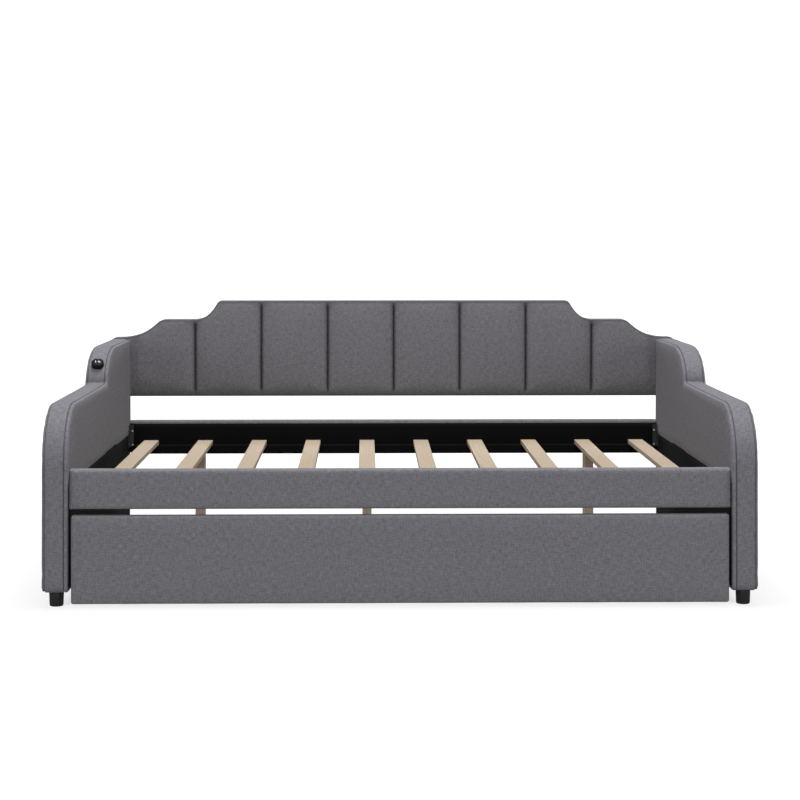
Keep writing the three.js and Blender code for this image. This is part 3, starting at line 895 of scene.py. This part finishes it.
def backrest_columns(edge):
    """Places across the backrest: close together at the seams, at the steps of the top and at the ends.
    Even places are dropped where they would lie too close to their neighbours."""
    near = np.array([0.0, 0.0009, 0.0022, 0.004, 0.0068, 0.011, 0.018, 0.029])
    ends = edge - BACK_END * (1 - np.cos(np.linspace(0, math.pi / 2, 5)))
    seams = np.concatenate([s + np.r_[near, -near] for s in np.r_[SEAMS, -SEAMS]])
    steps = np.r_[np.linspace(0.628, 0.700, 13), np.linspace(0.835, 0.925, 14), np.linspace(1.005, 1.030, 6)]
    x = np.unique(np.round(np.r_[seams, np.linspace(-edge, edge, 104), steps, -steps], 5))
    fixed = set(np.round(seams, 5))
    keep = [0]
    for k in range(1, len(x) - 1):
        close = x[k] - x[keep[-1]] < 0.0035 or abs(x[k]) > edge - 0.0075
        if x[k] in fixed or not close and (x[k + 1] not in fixed or x[k + 1] - x[k] > 0.002):
            keep.append(k)
    return np.r_[-ends, x[keep[1:]], ends[::-1]]


def backrest_ring(x, top, foot, front, back):
    """The backrest's section at each place across, as a closed loop of (depth, height): up the face,
    over the rim, back across the top, down the rear and round the hem underneath."""
    rim, hem, rear_edge = 0.0045, 0.026, 0.0028

    def corner(depth, height, radius, start, end, steps):
        turn = arc((0, 0), (radius, radius), start, end, steps)[1:]
        return depth + turn[None, :, 0] + 0 * height[:, None], height[:, None] + turn[None, :, 1]

    def straight(depth, height):
        return np.broadcast_arrays(depth, height)

    lowest = np.full(len(x), foot)
    t = np.linspace(0, 1, 40)[None]
    rise = (foot + hem) + (top - rim - foot - hem)[:, None] * t
    fall = (top - rear_edge)[:, None] + (foot + 2 * rear_edge - top)[:, None] * np.linspace(0, 1, 16)[1:]
    over = [part[:, :-1] for part in corner(front + rim, top - rim, rim, 180, 90, 6)]
    parts = [straight(front, rise), over,
             straight(np.linspace(front + rim, back - rear_edge, 6)[None], top[:, None]),
             corner(back - rear_edge, top - rear_edge, rear_edge, 90, 0, 4),
             straight(back, fall),
             corner(back - rear_edge, lowest + rear_edge, rear_edge, 0, -90, 4),
             straight(np.linspace(back - rear_edge, front + hem, 6)[None, 1:], lowest[:, None]),
             corner(front + hem, lowest + hem, hem, 270, 180, 8)]
    return np.concatenate([np.stack(part, -1) for part in parts], 1)


def rounded_ends(ring, x, edge):
    """Draws the section in towards each end, along its own normals, by a quarter circle."""
    end = np.clip((edge - np.abs(x)) / BACK_END, 0, 1)
    tuck = BACK_END * (1 - np.sqrt(1 - (1 - end) ** 2))
    run = np.roll(ring[:, :-1], -1, 1) - np.roll(ring[:, :-1], 1, 1)
    out = np.stack([-run[..., 1], run[..., 0]], -1) / np.linalg.norm(run, axis=-1, keepdims=True)
    return ring - tuck[:, None, None] * np.concatenate([out, out[:, :1]], 1)


class DAYBED_OT_backrest(bpy.types.Operator):
    """Make the channelled backrest cover and the lining behind it"""
    bl_idname = "daybed.backrest"
    bl_label = "Backrest"

    def execute(self, context):
        cloth = context.scene.daybed_upholstery
        low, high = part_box("backrest_pad")
        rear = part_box("backrest_board")[1][1]
        skin, lift = 0.0016, 0.0006
        edge, front, back, foot = high[0] + skin, low[1], rear + skin, low[2] - skin
        x = backrest_columns(edge)
        top = backrest_top(np.clip(x, low[0], high[0])) + lift
        ring = rounded_ends(backrest_ring(x, top, foot, front, back), x, edge)
        wide = np.broadcast_to(x[:, None], ring.shape[:2])
        points = np.concatenate([wide[..., None], ring], -1)
        along = np.broadcast_to(run_length(ring[len(x) // 2])[None], wide.shape)
        on_face = np.arange(wide.shape[1]) < 40
        uv = np.stack([wide, np.where(on_face, ring[..., 1], along)], -1)
        # painted shade in the channels and along the edges; its strong parts also mark the points held while
        # the cover swells
        sewn = painted_channel_shade(points, front)
        patches = [patch(points, uv, sewn), close_off(points[0]), close_off(points[-1])]
        piece = make_piece("backrest_cover", patches, woven_cloth())
        plump_channels(piece, cloth, front, foot)
        points = read_points(piece)
        swell(piece, cloth.swell, (points[:, 1] > back - 0.002) | (points[:, 2] < foot + 0.002)
              | (points[:, 2] > backrest_top(points[:, 0]) - 0.003))
        subdivide(piece)
        settle(piece, "daybed", ["backrest_pad", "backrest_board"])
        self.lining(cloth, back, low)
        return {"FINISHED"}

    def lining(self, cloth, rear, low):
        """The lining behind the backrest follows its top edge."""
        x = np.linspace(-1.018, 1.018, 120)
        t = np.linspace(0, 1, 24)
        wide, part = np.meshgrid(x, t, indexing="ij")
        z = (low[2] + 0.018) + part * (backrest_top(x)[:, None] - 0.036 - low[2])
        points = np.stack([wide, rear + 0.0012 + 0 * wide, z], -1)
        piece = make_piece("backrest_lining", [patch(points, points[..., [0, 2]])], black_lining())
        thicken(piece, cloth.sheet)
        settle(piece, "daybed", [])
        area = float(np.trapz(z[:, -1] - z[:, 0], x))


def painted_channel_shade(points, front):
    """Painted shade on the backrest: dark at the bottom of each sewn channel on its face, fading within a few
    millimetres, and along its bottom edge and just under its top edge.
    """
    x, y, z = points[..., 0], points[..., 1], points[..., 2]
    gap = np.min(np.abs(np.abs(x)[..., None] - SEAMS), -1)
    below = backrest_top(x) - z
    on_face = (y < front + 0.010) & (below > 0.004)
    above = z - z.min()
    # painted shade in each channel's valley, fading out near the top and the bottom
    valley_shade = 0.82 * np.exp(-(gap / 0.0066) ** 2) * np.clip((below - 0.004) / 0.012, 0, 1)
    valley_shade *= np.clip((above - 0.014) / 0.014, 0, 1)
    # painted shade along the bottom of the face, darkest at the very bottom edge
    hem = (0.5 * np.exp(-(above / 0.005) ** 2) + 0.28 * np.exp(-(above / 0.026) ** 2)) * (y < front + 0.030)
    # painted shade just under the top edge
    top_edge_shade = 0.6 * np.exp(-((below - 0.002) / 0.003) ** 2) * (y < front + 0.008)
    return np.maximum(np.where(on_face, valley_shade, 0.0), np.maximum(hem, top_edge_shade))


def plump_channels(piece, cloth, front, foot):
    """Pushes the face of the backrest forward: a shallow crown from top to bottom, rolled under at the
    bottom edge and back to each sewn seam, and none of it behind the arms."""
    points = read_points(piece)
    x, y, z = points.T
    reach = np.abs(x)
    gap = np.min(np.abs(reach[:, None] - SEAMS), 1)
    below = backrest_top(x) - z
    above = z - foot
    middle = (CROWN[0][1] + foot) / 2
    crown = 1 - ((z - middle) / (CROWN[0][1] - middle)) ** 2
    between = np.clip((0.962 - reach) / 0.02, 0, 1)
    fade = np.clip((below - 0.004) / 0.024, 0, 1)
    fade = fade * fade * (3 - 2 * fade)
    facing = np.clip((front + 0.016 - y) / 0.016, 0, 1) * between
    forward = (0.45 + 0.55 * crown) * roll_over(above, 0.075) * (1 - fade * (1 - roll_over(gap, 0.040)))
    points[:, 1] -= (cloth.channel_depth * forward - 0.0030 * fade * np.exp(-(gap / 0.0032) ** 2)) * facing
    write_points(piece, points)


def pad_box(name, node, radius, spacing, cloth, body, lined):
    """A padded board: a bar with rounded edges, its points close enough to swell, held flat on the
    sides that a lining is stapled over."""
    low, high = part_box(node)
    patches = bar(low, high, 0, radius, 4, spacing)
    piece = make_piece(name, patches, woven_cloth())
    depth = read_points(piece)[:, 1:2]
    faces = np.array([(low, high)[k][1] for k in lined])
    swell(piece, cloth.swell * 0.7, np.any(np.abs(depth - faces) < radius * 0.6, axis=1))
    subdivide(piece)
    settle(piece, body, [node])
    return piece


class DAYBED_OT_rail_covers(bpy.types.Operator):
    """Make the padded front and rear rails and the linings on their inner sides"""
    bl_idname = "daybed.rail_covers"
    bl_label = "Rail covers"

    def execute(self, context):
        cloth = context.scene.daybed_upholstery
        for end in ENDS:
            low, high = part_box(f"{end}_rail")
            lined = (1,) if end == "front" else (0, 1)
            pad_box(f"{end}_rail_cover", f"{end}_rail", 0.007, 0.010, cloth, "daybed", lined)
            inside = high[1] + 0.0006 if end == "front" else low[1] - 0.0006
            sheet_piece(f"{end}_rail_lining", np.linspace(low[0] + 0.001, high[0] - 0.001, 80),
                        np.linspace(low[2] + 0.003, high[2] - cloth.rail_turn, 8),
                        lambda b, c, y=inside: (b, y + 0 * b, c), cloth, "daybed")
        return {"FINISHED"}


class DAYBED_OT_trundle_front(bpy.types.Operator):
    """Make the trundle's padded front panel and the lining behind it"""
    bl_idname = "daybed.trundle_front"
    bl_label = "Trundle front"

    def execute(self, context):
        cloth = context.scene.daybed_upholstery
        low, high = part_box("trundle_front_panel")
        pad_box("trundle_front_cover", "trundle_front_panel", 0.0085, 0.010, cloth, "trundle", (1,))
        sheet_piece("trundle_front_lining", np.linspace(low[0] + 0.014, high[0] - 0.014, 80),
                    np.linspace(low[2] + 0.012, high[2] - 0.012, 14),
                    lambda b, c: (b, high[1] + 0.0001 + 0 * b, c), cloth, "trundle")
        return {"FINISHED"}


class DAYBED_OT_slats(bpy.types.Operator):
    """Make the ten bed slats"""
    bl_idname = "daybed.slats"
    bl_label = "Slats"

    def execute(self, context):
        for n in range(1, 11):
            plank(f"bed_slat_{n:02d}", f"slat_{n:02d}", 1, planed_pine(), n, "daybed")
        return {"FINISHED"}


class DAYBED_OT_ledgers(bpy.types.Operator):
    """Make the black ledgers under the slats and the wooden support legs"""
    bl_idname = "daybed.ledgers"
    bl_label = "Ledgers and legs"

    def execute(self, context):
        timber = context.scene.daybed_timber
        for end in ENDS:
            low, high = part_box(f"{end}_ledger")
            piece = make_piece(f"{end}_ledger_strip", bar(low, high, 0, timber.edge), black_lining())
            settle(piece, "daybed", [f"{end}_ledger"])
        for n in (1, 2, 3):
            plank(f"bed_leg_{n}", f"support_leg_{n}", 2, planed_pine(), 30 + n, "daybed")
        return {"FINISHED"}


FOOT_PROFILE = [
    (0, 0), (0.0165, 0), (0.0182, 0.0004), (0.0194, 0.0016), (0.0200, 0.0036), (0.0202, 0.0042),
    (0.0214, 0.0375), (0.0215, 0.0392), (0.0211, 0.0406), (0.0201, 0.0415), (0.0190, 0.0417),
    (0.0046, 0.0417), (0.0040, 0.0423), (0.0040, 0.0685), (0.0032, 0.0697), (0, 0.0697)]


class DAYBED_OT_feet(bpy.types.Operator):
    """Make the four turned feet"""
    bl_idname = "daybed.feet"
    bl_label = "Feet"

    def execute(self, context):
        for end in ENDS:
            for side in SIDES:
                node = f"foot_{end}_{side}"
                x, y, _ = np.add(*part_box(node)) / 2
                piece = make_piece(f"bed_{node}", [turned(FOOT_PROFILE, 72, (x, y, 0.0))], satin_plastic())
                settle(piece, "daybed", [node])
        return {"FINISHED"}


def bolt_head(place, axis, radius):
    """A low dome with a hexagonal socket."""
    profile = [(0, 0.0012), (radius * 0.42, 0.0012), (radius * 0.46, 0.0026), (radius * 0.62, 0.0031),
               (radius * 0.86, 0.0022), (radius, 0.0007), (radius, -0.0005), (0, -0.0005)]
    return turned(profile, 18, place, axis)


BRACKET_SHEET = 0.003
BOLT_LEVELS = (0.311, 0.362)
BOLT_INSET = 0.0042        # from the free edge of the wing on the rail


class DAYBED_OT_brackets(bpy.types.Operator):
    """Finish the corner brackets and the boards in the arms, and add the brackets' bolt heads"""
    bl_idname = "daybed.brackets"
    bl_label = "Brackets and bolts"

    def execute(self, context):
        radius = context.scene.daybed_hardware.bolt
        for side in SIDES:
            refinish(f"{side}_arm_board", core_board())
        on_rails, on_arms = [], []
        for end in ENDS:
            for side, sign in SIDES.items():
                node = f"bracket_{end}_{side}"
                refinish(node, powder_coat())
                low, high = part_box(node)
                into = 1.0 if end == "front" else -1.0
                rail_y, free_y = (low[1], high[1]) if end == "front" else (high[1], low[1])
                free_x, arm_x = (low[0], high[0]) if side == "right" else (high[0], low[0])
                rail_y += into * BRACKET_SHEET
                arm_x -= sign * BRACKET_SHEET
                for z in BOLT_LEVELS:
                    on_rails.append(bolt_head((free_x + sign * BOLT_INSET, rail_y, z), (0, into, 0), radius))
                    on_arms.append(bolt_head((arm_x, (rail_y + free_y) / 2, z), (-sign, 0, 0), radius))
        settle(make_piece("bracket_bolts", on_rails, zinc_plate()), "daybed", [])
        settle(make_piece("arm_side_bolts", on_arms, powder_coat()), "daybed", [])
        return {"FINISHED"}


PORT_SPREAD, PORT_HALF = 0.0060, (0.0020, 0.0045)
MODULE_TILT = 0.72
MODULE_FACE, MODULE_FLANGE, MODULE_BODY, MODULE_DEEP = 0.0175, 0.0209, 0.0175, 0.0300
MODULE_RISE, MODULE_ROUND = 0.0120, 0.0060


class ModulePlace:
    """Where the charging module sits: a point on its axis, its directions uphill along its face and out
    of it, and how far uphill its ports are."""

    def __init__(self):
        self.axis = np.array([0.0, -math.sin(MODULE_TILT), math.cos(MODULE_TILT)])
        self.uphill = np.array([0.0, math.cos(MODULE_TILT), math.sin(MODULE_TILT)])
        middle = np.add(*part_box("charger_housing")) / 2
        self.origin = middle - self.axis * (MODULE_RISE - MODULE_DEEP) / 2
        ports = np.mean([np.add(*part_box(f"charger_port_{side}")) / 2 for side in SIDES], 0)
        self.lift = float(np.dot(ports - self.origin, self.uphill))

    def at(self, x, up, out):
        """Points to the right of the axis, uphill and out of the face."""
        x, up, out = np.broadcast_arrays(x, up, out)
        right = np.array([1.0, 0.0, 0.0])
        return self.origin + x[..., None] * right + up[..., None] * self.uphill + out[..., None] * self.axis

    def rings(self, sign, half, radius, corner, steps):
        """A closed tube out of a small rounded rectangle round a port's middle: each step's ring has the
        rectangle's cores grown by a size, at a distance out of the face."""
        cores, ways = rounded_loop(half, radius, corner)
        flat = np.array([cores + size * ways for size, _ in steps])
        out = np.array([out for _, out in steps])[:, None] + MODULE_FACE
        tube = self.at(flat[..., 0] + sign * PORT_SPREAD, flat[..., 1] + self.lift, out)
        return [patch(tube), close_off(tube[0]), close_off(tube[-1])]


def module_housing(place):
    """A face plate with two pockets, as a height over a grid, and rings that lead from its rectangular
    rim out to the round flange and down to the body's end."""
    half_x, half_y, wall, margin = PORT_HALF[0] + 0.0002, PORT_HALF[1] + 0.0002, 0.0002, 0.0018
    lines = PORT_SPREAD + np.array([-half_x - wall, -half_x, half_x, half_x + wall, half_x + wall + 0.002])
    tops = np.array([half_y, half_y + wall, half_y + margin])
    wide, tall = np.meshgrid(np.r_[-lines[::-1], lines], np.r_[-tops[::-1], 0.0, tops], indexing="ij")
    pocket = (np.abs(np.abs(wide) - PORT_SPREAD) <= half_x + 1e-9) & (np.abs(tall) <= half_y + 1e-9)
    face = place.at(wide, tall + place.lift, MODULE_FACE - 0.0075 * pocket)
    rim = np.r_[face[:-1, 0], face[-1, :-1], face[:0:-1, -1], face[0, ::-1]]
    turn = np.unwrap(np.arctan2((rim - place.origin) @ place.uphill, rim[:, 0] - place.origin[0]))
    shoulder = (MODULE_FLANGE - MODULE_ROUND, MODULE_FACE - 0.0006 - MODULE_ROUND)
    profile = np.r_[
        [(0.0125, MODULE_FACE - 0.0001)], arc(shoulder, (MODULE_ROUND, MODULE_ROUND), 88, 0, 8),
        [(MODULE_FLANGE, 0.0030), (MODULE_FLANGE, -0.0020), (MODULE_FLANGE - 0.0006, -0.0027),
         (MODULE_BODY, -0.0027), (MODULE_BODY, 0.0010 - MODULE_DEEP), (MODULE_BODY - 0.001, -MODULE_DEEP),
         (0.0, -MODULE_DEEP)]]
    rings = place.at(profile[:, :1] * np.cos(turn), profile[:, :1] * np.sin(turn), profile[:, 1:])
    return [patch(face), patch(np.concatenate([rim[None], rings]))]


class DAYBED_OT_charger(bpy.types.Operator):
    """Make the charging module with its two ports and its indicator"""
    bl_idname = "daybed.charger"
    bl_label = "Charging module"

    def execute(self, context):
        place = ModulePlace()
        piece = make_piece("charging_module", module_housing(place), matt_plastic())
        settle(piece, "daybed", ["charger_housing"])
        for side, sign in SIDES.items():
            mouth = place.rings(sign, PORT_HALF, 0.0006, 3, [
                (0.0006, -0.0072), (0.0006, 0.0002), (0.0004, 0.0004),
                (0.0001, 0.0004), (-0.0001, 0.0002), (-0.0001, -0.0060)])
            tongue = place.rings(sign, (0.0006, 0.0034), 0.0003, 2, [
                (0.0003, -0.0065), (0.0003, -0.0004), (0.0001, -0.0002)])
            sleeve = make_piece(f"port_sleeve_{side}", mouth + tongue, zinc_plate())
            settle(sleeve, "daybed", [f"charger_port_{side}"])
        profile = [(0, 0.0006), (0.0006, 0.0005), (0.0010, 0.0), (0.0010, -0.001), (0, -0.001)]
        lamp = turned(profile, 16, place.at(0.0, place.lift + 0.0078, MODULE_FACE), place.axis)
        settle(make_piece("charging_indicator", [lamp], zinc_plate()), "daybed", [])
        return {"FINISHED"}


class DAYBED_OT_trundle_timber(bpy.types.Operator):
    """Make the trundle's beams, rear rail, ledgers and slats"""
    bl_idname = "daybed.trundle_timber"
    bl_label = "Trundle timber"

    def execute(self, context):
        for k, side in enumerate(SIDES):
            plank(f"{side}_beam", f"trundle_{side}_beam", 1, planed_pine(), 40 + k, "trundle")
        plank("rear_cross_rail", "trundle_rear_rail", 0, plywood(), 44, "trundle")
        for k, end in enumerate(ENDS):
            plank(f"{end}_slat_ledger", f"trundle_{end}_ledger", 0, planed_pine(), 46 + k, "trundle")
        for n in range(1, 9):
            plank(f"low_slat_{n}", f"trundle_slat_{n}", 1, planed_pine(), 50 + n, "trundle")
        return {"FINISHED"}


def wheel_shape(half, middle):
    """Half a section of hub, dished web and rounded tread, mirrored and carried round the axle."""
    wide, radius, bore, round_off = half[0], half[2], 0.0044, 0.0035
    hub = [(bore, 0.0), (bore, wide - 0.0006), (bore + 0.0006, wide), (0.0078, wide), (0.0084, wide - 0.0006)]
    web = [(0.0088, wide - 0.0030), (0.0100, wide - 0.0036), (0.0165, wide - 0.0036),
           (0.0178, wide - 0.0030), (0.0184, wide - 0.0010), (0.0192, wide - 0.0007)]
    tread = arc((radius - round_off, wide - 0.0042), (round_off, round_off), 90, 0, 6)
    near = np.r_[hub, web, tread, [(radius, 0.0)]]
    far = near[-2::-1] * [1.0, -1.0]
    return turned(np.r_[near, far], 64, middle, (1.0, 0.0, 0.0))


class DAYBED_OT_casters(bpy.types.Operator):
    """Make the caster wheels and finish their forks and axles"""
    bl_idname = "daybed.casters"
    bl_label = "Casters"

    def execute(self, context):
        for end in ENDS:
            for side in SIDES:
                refinish(f"caster_fork_{end}_{side}", zinc_plate())
                refinish(f"caster_axle_{end}_{side}", zinc_plate())
                node = f"caster_wheel_{end}_{side}"
                low, high = map(np.array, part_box(node))
                wheel = wheel_shape((high - low) / 2, (low + high) / 2)
                piece = make_piece(f"tread_wheel_{end}_{side}", [wheel], tread_rubber())
                settle(piece, f"wheel_{end}_{side}", [node])
        return {"FINISHED"}


OPERATORS = (DAYBED_OT_stage, DAYBED_OT_arm_covers, DAYBED_OT_arm_linings, DAYBED_OT_backrest,
             DAYBED_OT_rail_covers, DAYBED_OT_trundle_front, DAYBED_OT_slats, DAYBED_OT_ledgers,
             DAYBED_OT_feet, DAYBED_OT_brackets, DAYBED_OT_charger, DAYBED_OT_trundle_timber,
             DAYBED_OT_casters)


class DAYBED_PT_panel(bpy.types.Panel):
    """Lists the daybed's pieces and sizes"""
    bl_idname = "DAYBED_PT_panel"
    bl_label = "Trundle daybed"
    bl_space_type = "VIEW_3D"
    bl_region_type = "UI"
    bl_category = "Daybed"

    def draw(self, context):
        for operator in OPERATORS:
            self.layout.operator(operator.bl_idname)
        for group in settings():
            box = self.layout.box()
            for name in group.__annotations__:
                box.prop(group, name)


GROUPS = {"daybed_upholstery": UpholsterySizes, "daybed_timber": TimberSizes,
          "daybed_hardware": HardwareSizes, "daybed_stage": StageSizes}


def register():
    for kind in (*GROUPS.values(), *OPERATORS, DAYBED_PT_panel):
        bpy.utils.register_class(kind)
    for name, group in GROUPS.items():
        setattr(bpy.types.Scene, name, bpy.props.PointerProperty(type=group))


def unregister():
    for name in GROUPS:
        delattr(bpy.types.Scene, name)
    for kind in (DAYBED_PT_panel, *reversed(OPERATORS), *reversed(GROUPS.values())):
        bpy.utils.unregister_class(kind)


def main():
    """Registers the add-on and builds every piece."""
    register()
    for operator in OPERATORS:
        getattr(bpy.ops.daybed, operator.bl_idname.split(".")[1])()


if __name__ == "__main__":
    main()
